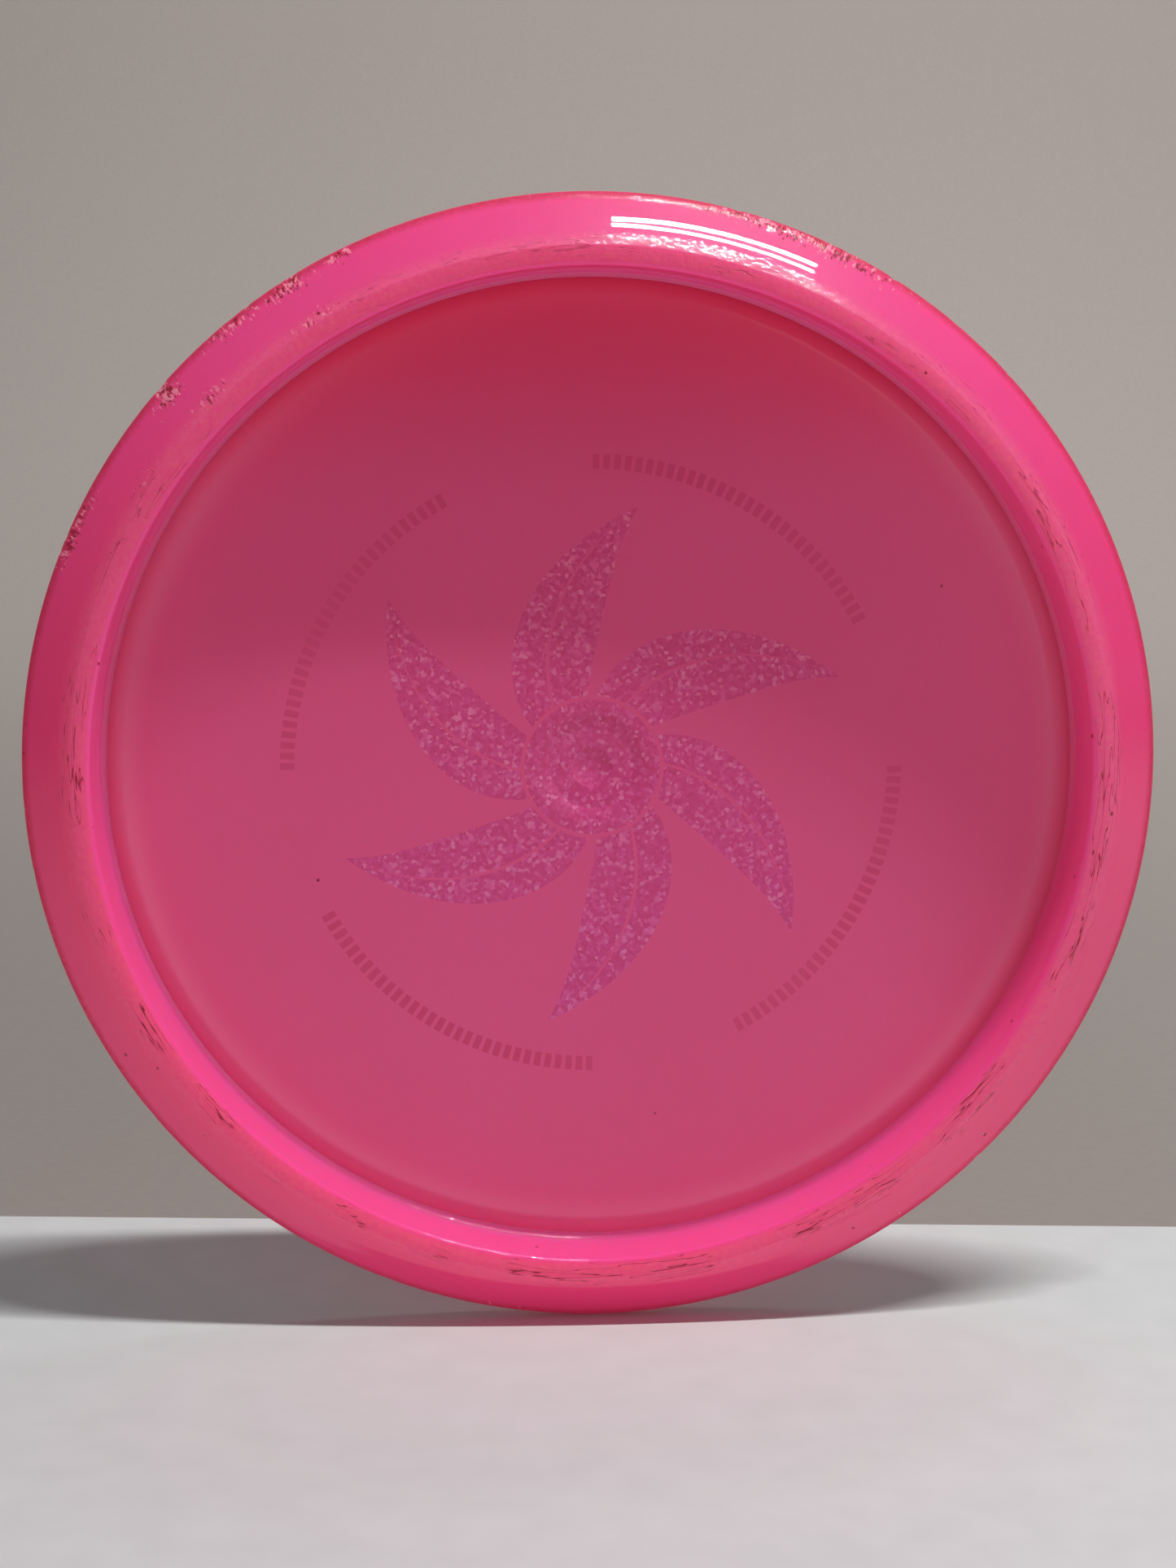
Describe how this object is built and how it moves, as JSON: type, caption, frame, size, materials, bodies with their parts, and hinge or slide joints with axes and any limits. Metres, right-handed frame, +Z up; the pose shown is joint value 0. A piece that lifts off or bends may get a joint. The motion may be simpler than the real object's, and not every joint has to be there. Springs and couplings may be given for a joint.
{
  "type": "flying disc",
  "caption": "Golf-type flying disc: a thin domed flight plate inside a broad blunt rim with a hollow underside, and a film stamp on its top.",
  "frame": {"origin": "centre of the disc, on its spin axis, halfway through its overall height", "axes": "+Y along the spin axis, out of the stamped top; the hollow underside faces -Y; +Z up, with the disc standing on its edge"},
  "size_m": [0.217, 0.0182, 0.217],
  "materials": {
    "rim_plastic": "glossy translucent hot pink, scuffed on the nose and the resting band",
    "plate_plastic": "glossy hazy translucent crimson pink",
    "stamp_film": "glitter stamping film, violet to pink"
  },
  "bodies": {
    "root": {"rim": "rim_plastic", "flight_plate": "plate_plastic", "stamp_pinwheel": "stamp_film", "stamp_arc_1": "stamp_film", "stamp_arc_2": "stamp_film", "stamp_arc_3": "stamp_film", "stamp_arc_4": "stamp_film"}
  },
  "joints": []
}
